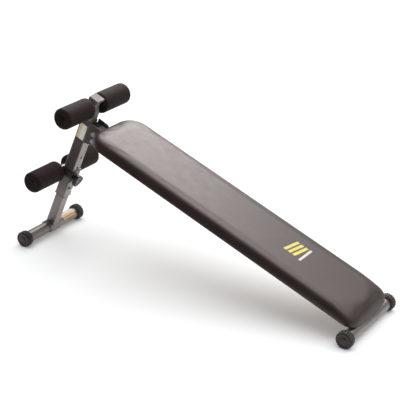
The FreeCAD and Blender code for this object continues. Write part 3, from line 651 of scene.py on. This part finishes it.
def subdivide(piece, levels):
    """Apply smooth subdivision."""
    smooth = piece.modifiers.new("smooth", "SUBSURF")
    smooth.levels = levels
    smooth.render_levels = levels
    ready = piece.evaluated_get(bpy.context.evaluated_depsgraph_get())
    mesh = bpy.data.meshes.new_from_object(ready)
    piece.modifiers.remove(smooth)
    old = piece.data
    piece.data = mesh
    mesh.name = old.name
    bpy.data.meshes.remove(old)


# ---------------------------------------------------------------- rollers
def foam_profile(inner, outer):
    """A roller's section as (y, radius): dimpled ends, soft edges, full barrel."""
    bore = 0.0134
    mouth = 0.0215
    dimple = 0.0016
    barrel = FOAM_RADIUS
    near, far = inner + FOAM_EDGE, outer - FOAM_EDGE
    profile = [(inner + 0.006, bore), (inner + dimple, bore), (inner + dimple * 0.5, bore + 0.003),
               (inner, mouth)]
    corner = [(FOAM_EDGE * (1 - math.sin(a)), FOAM_EDGE * (1 - math.cos(a)))
              for a in [math.pi / 2 * step / 10 for step in range(11)]]
    start = [(inner + y, barrel - r) for r, y in corner]
    profile += [(y, r) for y, r in start]
    middle = 22
    profile += [(near + (far - near) * step / middle, barrel) for step in range(1, middle)]
    profile += [(inner + outer - y, r) for y, r in reversed(start)]
    profile += [(outer, mouth), (outer - dimple * 0.5, bore + 0.003), (outer - dimple, bore),
                (outer - 0.006, bore)]
    return profile


def foam_shape(angle, y, radius):
    """The slightly uneven skin of a foam tube."""
    spot = Vector((math.sin(angle) * 3, y * 30, math.cos(angle) * 3))
    return radius + 0.00035 * noise.noise(spot) * min(1.0, radius / FOAM_RADIUS)


def build_roller(name, side, bar):
    """One foam roller on its bar; side is -1 on the left, where Y is negative."""
    low, high = (FOAM_INNER, FOAM_OUTER) if side > 0 else (-FOAM_OUTER, -FOAM_INNER)
    points, faces = skin_rings(turned(foam_profile(low, high), 96, foam_shape), False, False)
    count = 96
    last = len(points) - count
    faces += [(index, last + index, last + (index + 1) % count, (index + 1) % count)
              for index in range(count)]
    place = POST @ Matrix.Translation((bar[0], 0, bar[1]))
    piece = add_piece(f"{name}_sponge", mesh_from(name, points, faces), ROLLER_FOAM, name,
                      place, sharp=60)
    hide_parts(f"{name}_foam")
    return piece


def plug_profile(start):
    """A bar's end plug, from inside the foam to its dished face: (y, radius)."""
    return [(start - 0.004, 0.0084), (start, 0.0084), (start, 0.0108), (start + 0.0004, 0.0115),
            (start + 0.0011, 0.0115), (start + 0.0017, 0.0111), (start + 0.0020, 0.0104),
            (start + 0.0019, 0.0095), (start + 0.0009, 0.0088), (start + 0.0006, 0.0070),
            (start + 0.0006, 0.0030)]


def build_plugs(level, body, bar):
    """Two dished plastic plugs in the ends of a roller bar."""
    points, faces = [], []
    for side in (-1, 1):
        rings = turned(plug_profile(FOAM_OUTER + 0.0003), 48)
        rings = [[Vector((p.x, side * p.y, p.z)) for p in ring] for ring in rings]
        more, skin = skin_rings(rings)
        faces += [tuple(index + len(points) for index in face) for face in skin]
        points += more
    place = POST @ Matrix.Translation((bar[0], 0, bar[1]))
    piece = add_piece(f"{level}_end_plugs", mesh_from(level, points, faces), BLACK_PLASTIC, body,
                      place, sharp=40)
    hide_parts(f"{level}_bar_plugs")
    return piece


# ---------------------------------------------------------------- feet
def cap_profile():
    """A foot cap's section, from its mouth to the middle of its face: (y, radius, rib share)."""
    inner, outer, full = CAP_INNER, CAP_OUTER, CAP_RADIUS
    return [(inner + 0.004, FOOT_RADIUS, 0), (inner, FOOT_RADIUS, 0), (inner, full - 0.0035, 0),
            (inner + 0.0006, full - 0.0026, 0), (inner + 0.0036, full - 0.0024, 0),
            (inner + 0.0042, full - 0.0030, 0), (inner + 0.0050, full - 0.0030, 0),
            (inner + 0.0058, full - 0.0004, 1), (inner + 0.0070, full, 1),
            (inner + 0.0150, full, 1), (outer - 0.0060, full, 1), (outer - 0.0035, full - 0.0005, 1),
            (outer - 0.0015, full - 0.0018, 0.8), (outer - 0.0004, full - 0.0036, 0.5),
            (outer, full - 0.0058, 0.2), (outer, full - 0.0080, 0), (outer - 0.0004, full - 0.0092, 0),
            (outer - 0.0016, full - 0.0104, 0), (outer - 0.0018, full - 0.0130, 0),
            (outer - 0.0018, full - 0.0190, 0), (outer - 0.0012, full - 0.0200, 0),
            (outer - 0.0006, full - 0.0208, 0), (outer - 0.0006, full - 0.0260, 0),
            (outer - 0.0006, full - 0.0290, 0)]


def build_foot_cap(where, side_name, side, body):
    """A ribbed rubber cap, flattened where it stands on the floor."""
    segments = CAP_RIBS * 10
    axis_x = sum(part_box(f"{where}_foot_tube")[corner].x for corner in (0, 1)) / 2
    rings = []
    for y, radius, share in cap_profile():
        ring = []
        for step in range(segments):
            angle = FULL_TURN * step / segments
            groove = max(0.0, math.cos(CAP_RIBS * angle)) ** 1.5
            reach = radius - CAP_RIB_DEPTH * share * groove
            low = max(reach * math.cos(angle), -FOOT_HEIGHT)
            ring.append(Vector((reach * math.sin(angle), side * y, low)))
        rings.append(ring)
    points, faces = skin_rings(rings, closed_start=False)
    start = len(points)
    points += [Vector((p.x, side * (CAP_OUTER - CAP_BORE), p.z)) for p in rings[0]]
    faces += [(index, start + index, start + (index + 1) % segments, (index + 1) % segments)
              for index in range(segments)]
    faces.append(tuple(range(start, start + segments)))
    name = f"{where}_foot_cap_{side_name}"
    piece = add_piece(f"{where}_ribbed_cap_{side_name}", mesh_from(name, points, faces), FOOT_RUBBER,
                      body, Matrix.Translation((axis_x, 0, FOOT_HEIGHT)), sharp=50)
    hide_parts(name)
    return piece


# ---------------------------------------------------------------- knob
def knob_profile():
    """The knob's section from its bore out over the rim to its face: (off, radius, lobe share)."""
    back, end = KNOB_BACK, KNOB_END
    deep = back + KNOB_RECESS
    profile = [(end - KNOB_COVER, 0.0051, 0), (deep, 0.0052, 0), (deep, 0.0105, 0),
               (back + 0.0004, 0.0107, 0), (back, 0.0112, 0), (back, 0.0190, 0.8),
               (back + 0.0004, 0.0221, 1), (back + 0.0014, 0.0228, 1), (back + 0.0030, KNOB_RADIUS, 1),
               (end - 0.0060, KNOB_RADIUS, 1)]
    rim = 0.0026
    profile += [(end - rim * (1 - math.sin(a)), KNOB_RADIUS - rim * (1 - math.cos(a)), 1)
                for a in (0.3, 0.6, 0.9, 1.2, math.pi / 2)]
    profile += [(end, 0.0190, 0.9), (end - 0.0002, 0.0165, 0.7), (end - 0.0010, 0.0155, 0.6),
                (end - 0.0012, 0.0130, 0.4), (end - 0.0012, 0.0040, 0)]
    return profile


def build_knob():
    """The three-lobed lock knob: a thick fluted side and a flat face with a sunk middle."""
    rings = []
    segments = 180
    lobes, lobe_depth, lobe_turn = 3, 0.0030, math.radians(30)
    flutes, flute_depth = 45, 0.00025
    for off, radius, share in knob_profile():
        ring = []
        for step in range(segments):
            angle = FULL_TURN * step / segments
            lobe = lobe_depth * math.cos(lobes * (angle - lobe_turn))
            grooves = flute_depth * math.cos(flutes * angle) if share == 1 else 0
            reach = radius - share * lobe * radius / KNOB_RADIUS - grooves
            ring.append(Vector((off, reach * math.sin(angle), reach * math.cos(angle))))
        rings.append(ring)
    points, faces = skin_rings(rings)
    place = POST @ Matrix.Translation((0, 0, KNOB_HEIGHT))
    piece = add_piece("lobed_knob", mesh_from("knob", points, faces), KNOB_PLASTIC, "knob",
                      place, sharp=50)
    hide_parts("lock_knob")
    return piece


# ---------------------------------------------------------------- films and prints
def film_shell(columns, rows, surface, thickness):
    """A thin closed sheet over a surface: surface(s, t) gives a point and its outward normal."""
    points = []
    for lift in (thickness, -thickness / 2):
        for i in range(columns + 1):
            for j in range(rows + 1):
                point, normal = surface(i / columns, j / rows)
                points.append(point + normal * lift)
    layer = (columns + 1) * (rows + 1)

    def at(i, j, low):
        return i * (rows + 1) + j + low * layer

    faces = []
    for i in range(columns):
        for j in range(rows):
            for low in (0, 1):
                faces.append((at(i, j, low), at(i + 1, j, low), at(i + 1, j + 1, low),
                              at(i, j + 1, low)))
    for i in range(columns):
        for j in (0, rows):
            faces.append((at(i, j, 0), at(i + 1, j, 0), at(i + 1, j, 1), at(i, j, 1)))
    for j in range(rows):
        for i in (0, columns):
            faces.append((at(i, j, 0), at(i, j + 1, 0), at(i, j + 1, 1), at(i, j, 1)))
    return points, faces


def build_post_label():
    """A blank two-tone sticker on the post's left face, under the bracket."""
    low, high, middle, reach = 0.483, 0.549, -0.004, 0.0165
    for name, material, start, end in (("post_label_tan", FILM_TAN, -reach, middle),
                                       ("post_label_white", FILM_WHITE, middle, reach)):
        def surface(s, t):
            off = start + (end - start) * s
            return Vector((off, -POST_HALF, low + (high - low) * t)), Vector((0, -1, 0))
        points, faces = film_shell(4, 6, surface, 0.0002)
        add_piece(name, mesh_from(name, points, faces), material, "post", POST)


def build_foot_label():
    """Blank bands of a sticker wrapped round the front foot tube, beside the leg."""
    axis_x = sum(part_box("front_foot_tube")[corner].x for corner in (0, 1)) / 2
    near, far = 0.054, 0.126
    bands = (("foot_label_white", FILM_WHITE, -60, 22), ("foot_label_tan", FILM_TAN, 22, 52),
             ("foot_label_stripe", FILM_BROWN, 52, 60), ("foot_label_edge", FILM_TAN, 60, 74))
    for name, material, start, end in bands:
        def surface(s, t):
            angle = math.radians(start + (end - start) * s)
            normal = Vector((math.sin(angle), 0, math.cos(angle)))
            return normal * FOOT_RADIUS + Vector((0, near + (far - near) * t, 0)), normal
        points, faces = film_shell(12, 6, surface, 0.0002)
        place = Matrix.Translation((axis_x, 0, FOOT_HEIGHT))
        add_piece(name, mesh_from(name, points, faces), material, "leg", place)


def build_pad_print(pad):
    """Plain printed bars near the pad's low end, laid on the cover's own surface."""
    tree = BVHTree.FromPolygons([vertex.co for vertex in pad.data.vertices],
                                [polygon.vertices for polygon in pad.data.polygons])
    down = BEAM.to_3x3() @ Vector((0, 0, -1))
    bars = [(f"pad_print_bar_{index + 1}", PRINT_YELLOW, 0.846 + 0.019 * index, 0.012, 0.012,
             -0.030, 0.048) for index in range(3)]
    bars.append(("pad_print_line", FILM_WHITE, 0.914, 0.009, 0.0, -0.036, 0.050))
    for name, material, front, width, slant, left, right in bars:
        def surface(s, t):
            u = front + width * s + slant * t
            start = BEAM @ Vector((u, left + (right - left) * t, PAD_TOP + 0.05))
            return tree.ray_cast(start, down)[0], -down
        points, faces = film_shell(3, 16, surface, 0.00025)
        add_piece(name, mesh_from(name, points, faces), material, "bench")


# ---------------------------------------------------------------- staples and welds
def build_staples():
    """Wire staples that hold the cover's hem to the board, all round the underside."""
    inset, pitch, half, wire = 0.022, 0.034, 0.0048, 0.0005
    front, side, rear = pad_outline(inset, 60, 400)
    half_line = front[:-1] + side[:-1] + rear
    line = half_line + [(u, -y) for u, y in half_line[1:-1]][::-1]
    total = sum(math.hypot(b[0] - a[0], b[1] - a[1]) for a, b in zip(line, line[1:] + line[:1]))
    spots = resample(line + line[:1], round(total / pitch))
    points, faces = [], []
    section = 6
    for (au, ay), (bu, by) in zip(spots, spots[1:]):
        along = Vector((bu - au, by - ay, 0)).normalized()
        centre = Vector((au, ay, PAD_HEM))
        path = [centre - along * half + Vector((0, 0, 0.0012)),
                centre - along * half - Vector((0, 0, 0.0003)),
                centre - along * (half - 0.0006) - Vector((0, 0, 0.0007)),
                centre + along * (half - 0.0006) - Vector((0, 0, 0.0007)),
                centre + along * half - Vector((0, 0, 0.0003)),
                centre + along * half + Vector((0, 0, 0.0012))]
        more, skin = tube_along(path, lambda share: wire, section)
        faces += [tuple(index + len(points) for index in face) for face in skin]
        points += more
    add_piece("hem_staples", mesh_from("hem_staples", points, faces), ZINC_STEEL, "bench",
              BEAM)


def tube_along(path, radius_at, section):
    """A closed round tube along a path; radius_at(share) gives its radius from 0 to 1."""
    rings = []
    last = len(path) - 1
    for index, point in enumerate(path):
        ahead = (path[min(index + 1, last)] - path[max(index - 1, 0)]).normalized()
        side = ahead.orthogonal().normalized()
        if rings:
            side = (old_side - ahead * old_side.dot(ahead)).normalized()
        old_side = side
        up = ahead.cross(side)
        radius = radius_at(index / last)
        angles = [FULL_TURN * step / section for step in range(section)]
        rings.append([point + (side * math.cos(a) + up * math.sin(a)) * radius for a in angles])
    return skin_rings(rings)


def weld_bead(path_at, length, radius):
    """A rippled weld bead; path_at(share) gives its centre line from 0 to 1."""
    steps = max(12, round(length / 0.0006))
    ripples = length / 0.0028

    def radius_at(share):
        taper = min(1.0, share * 8, (1 - share) * 8)
        ripple = 0.5 + 0.5 * math.cos(FULL_TURN * ripples * share)
        return radius * (0.45 + 0.55 * math.sqrt(max(taper, 0.0))) * (1 - 0.16 * ripple ** 3)

    return tube_along([path_at(step / steps) for step in range(steps + 1)], radius_at, 10)


def line_weld(start, end):
    """A straight bead's path."""
    return (lambda share: start.lerp(end, share)), (end - start).length


def arc_weld(centre, radius, low, high):
    """A bead's path round an axis along Y, angles in degrees from Z towards X."""
    def path(share):
        angle = math.radians(low + (high - low) * share)
        return centre + Vector((math.sin(angle), 0, math.cos(angle))) * radius
    return path, abs(math.radians(high - low)) * radius


def build_welds(name, material, body, place, runs, radius=0.0018):
    """Several beads as one piece."""
    points, faces = [], []
    for path, length in runs:
        more, skin = weld_bead(path, length, radius)
        faces += [tuple(index + len(points) for index in face) for face in skin]
        points += more
    add_piece(name, mesh_from(name, points, faces), material, body, place, sharp=60)


def build_all_welds():
    """Beads where the straps, pivot tube, feet and bracket are welded on."""
    edge = BEAM_HALF - 0.003
    runs = [line_weld(Vector((place + side * (STRAP_HALF + 0.0006), -edge, BEAM_HIGH + 0.0004)),
                      Vector((place + side * (STRAP_HALF + 0.0006), edge, BEAM_HIGH + 0.0004)))
            for place in STRAP_PLACES for side in (-1, 1)]
    runs += [line_weld(Vector((side * 0.0056, -edge, BEAM_LOW - 0.0009)),
                       Vector((side * 0.0056, edge, BEAM_LOW - 0.0009))) for side in (-1, 1)]
    foot = BEAM.inverted() @ Vector((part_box("rear_foot_tube")[0].x + FOOT_RADIUS, 0, FOOT_HEIGHT))
    runs += [arc_weld(Vector((foot.x, side * BEAM_HALF, foot.z)), FOOT_RADIUS, -132, -4)
             for side in (-1, 1)]
    reach = foot.x + 0.0006
    runs.append(line_weld(Vector((reach, -edge, BEAM_HIGH - 0.0008)),
                          Vector((reach, edge, BEAM_HIGH - 0.0008))))
    build_welds("beam_welds", FRAME_PAINT, "bench", BEAM, runs)

    foot = POST.inverted() @ Vector((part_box("front_foot_tube")[0].x + FOOT_RADIUS, 0, FOOT_HEIGHT))
    bend = math.degrees(math.asin(LEG_HALF / SADDLE_RADIUS))
    rise = math.sqrt(SADDLE_RADIUS ** 2 - LEG_HALF ** 2)
    inner = LEG_HALF - 0.002
    runs = [arc_weld(Vector((foot.x, side * LEG_HALF, foot.z)), SADDLE_RADIUS, -bend, bend)
            for side in (-1, 1)]
    runs += [line_weld(Vector((foot.x + side * LEG_HALF, -inner, foot.z + rise)),
                       Vector((foot.x + side * LEG_HALF, inner, foot.z + rise)))
             for side in (-1, 1)]
    runs += [arc_weld(Vector((foot.x, side * SADDLE_HALF, foot.z)), FOOT_RADIUS + 0.0006, -88, 88)
             for side in (-1, 1)]
    build_welds("leg_welds", FRAME_PAINT, "leg", POST, runs)


# ---------------------------------------------------------------- stage
def build_floor():
    """A wide pale floor."""
    half = 30.0
    mesh = mesh_from("floor", [(-half, -half, 0), (half, -half, 0), (half, half, 0), (-half, half, 0)],
                     [(0, 1, 2, 3)])
    nodes = Nodes("studio_floor")
    nodes.link(nodes.colours(nodes.noise(2, 3), (0.3, (0.86, 0.87, 0.87)), (0.7, (0.87, 0.88, 0.88))),
               nodes.shader.inputs["Base Color"])
    nodes.set(Roughness=0.9, Specular_IOR_Level=0.1, Emission_Color=(0.98, 0.99, 1, 1),
              Emission_Strength=0.16)
    mesh.materials.append(nodes.material)
    floor = bpy.data.objects.new("floor", mesh)
    bpy.context.scene.collection.objects.link(floor)


def aim(thing, place, target):
    """Put a light or camera at a place, looking at a target."""
    thing.location = place
    thing.rotation_euler = (Vector(target) - Vector(place)).to_track_quat("-Z", "Y").to_euler()


def area_light(name, place, target, width, height, power):
    """A rectangular softbox."""
    light = bpy.data.lights.new(name, "AREA")
    light.shape = "RECTANGLE"
    light.size = width
    light.size_y = height
    light.energy = power
    light.color = WARM_WHITE
    holder = bpy.data.objects.new(name, light)
    bpy.context.scene.collection.objects.link(holder)
    aim(holder, place, target)
    return holder


def sun_light(name, place, strength, angle, colour):
    """A very soft sun."""
    light = bpy.data.lights.new(name, "SUN")
    light.energy = strength
    light.color = colour
    light.angle = math.radians(angle)
    holder = bpy.data.objects.new(name, light)
    bpy.context.scene.collection.objects.link(holder)
    aim(holder, place, (0, 0, 0))
    return holder


def build_flag():
    """A black card in front of the bench that only mirror-like rays see."""
    half, y, high_end, low_end = 1.5, -0.34, 2.20, 0.12
    mesh = mesh_from("flag", [(-half, y, 0.001), (half, y, 0.001), (half, y, low_end),
                              (-half, y, high_end)], [(0, 1, 2, 3)])
    nodes = Nodes("flag_black")
    nodes.set(Base_Color=(0.01, 0.01, 0.01, 1), Roughness=1.0, Specular_IOR_Level=0.0)
    mesh.materials.append(nodes.material)
    flag = bpy.data.objects.new("flag", mesh)
    bpy.context.scene.collection.objects.link(flag)
    flag.visible_camera = False
    flag.visible_diffuse = False
    flag.visible_shadow = False
    flag.visible_transmission = False


def build_light():
    """White surroundings, soft overhead sources and a big softbox behind on the left."""
    world = bpy.data.worlds.new("studio")
    bpy.context.scene.world = world
    world.use_nodes = True
    tree = world.node_tree
    background = tree.nodes["Background"]
    background.inputs["Color"].default_value = (1, 1, 1, 1)
    seen = tree.nodes.new("ShaderNodeLightPath").outputs["Is Camera Ray"]
    strength = tree.nodes.new("ShaderNodeMapRange")
    strength.inputs["To Min"].default_value = 0.45
    strength.inputs["To Max"].default_value = 1.0
    tree.links.new(seen, strength.inputs["Value"])
    tree.links.new(strength.outputs["Result"], background.inputs["Strength"])
    meshes = [thing for thing in bpy.context.scene.objects if thing.type == "MESH"]
    stage = [thing for thing in meshes if thing.name == "floor"]
    bench = [thing for thing in meshes if thing.name != "floor"]
    # the softbox passes over the pieces nearest the floor
    low = ("front_foot", "front_ribbed", "lower_", "foot_label", "leg_welds", "foot_saddle")
    high = [thing for thing in bench if not thing.name.startswith(low)]
    over_floor = sun_light("over_floor", (0.1, 0.80, 3.0), 2.35, 80, (1, 1, 1))
    overhead = sun_light("overhead", (0.1, 1.25, 3.0), 2.6, 62, WARM_WHITE)
    softbox = area_light("back_softbox", (-2.0, 3.2, 3.1), (-0.4, 0, 0.5), 3.2, 1.8, 225)
    softbox.visible_diffuse = False
    for light, lit in ((over_floor, stage), (overhead, bench), (softbox, high)):
        group = bpy.data.collections.new(f"lit_by_{light.name}")
        for thing in lit:
            group.objects.link(thing)
        light.light_linking.receiver_collection = group


def build_camera():
    """The camera, at a standing person's eye height beside the bench's rear end."""
    camera = bpy.data.cameras.new("camera")
    camera.sensor_width = 36.0
    camera.lens = 109.4544
    holder = bpy.data.objects.new("camera", camera)
    bpy.context.scene.collection.objects.link(holder)
    azimuth = math.radians(123.77)
    down = math.radians(23.63)
    place = Vector((PIVOT.x + 2.6782, -3.3172, 2.0564))
    ahead = Vector((math.cos(down) * math.cos(azimuth), math.cos(down) * math.sin(azimuth),
                    -math.sin(down)))
    aim(holder, place, place + ahead)
    bpy.context.scene.camera = holder
    bpy.context.scene.view_settings.view_transform = "Standard"


build_camera()
finish_cad_nodes()
pad_cover = build_pad()
build_pad_print(pad_cover)
build_staples()
for level, body, bar in (("upper", "post", UPPER_BAR), ("lower", "carriage", LOWER_BAR)):
    build_plugs(level, body, bar)
    for word, side in (("left", -1), ("right", 1)):
        build_roller(f"{level}_roller_{word}", side, bar)
for where, body in (("front", "leg"), ("rear", "bench")):
    for word, side in (("left", -1), ("right", 1)):
        build_foot_cap(where, word, side, body)
build_knob()
build_post_label()
build_foot_label()
build_all_welds()
build_floor()
build_flag()
build_light()
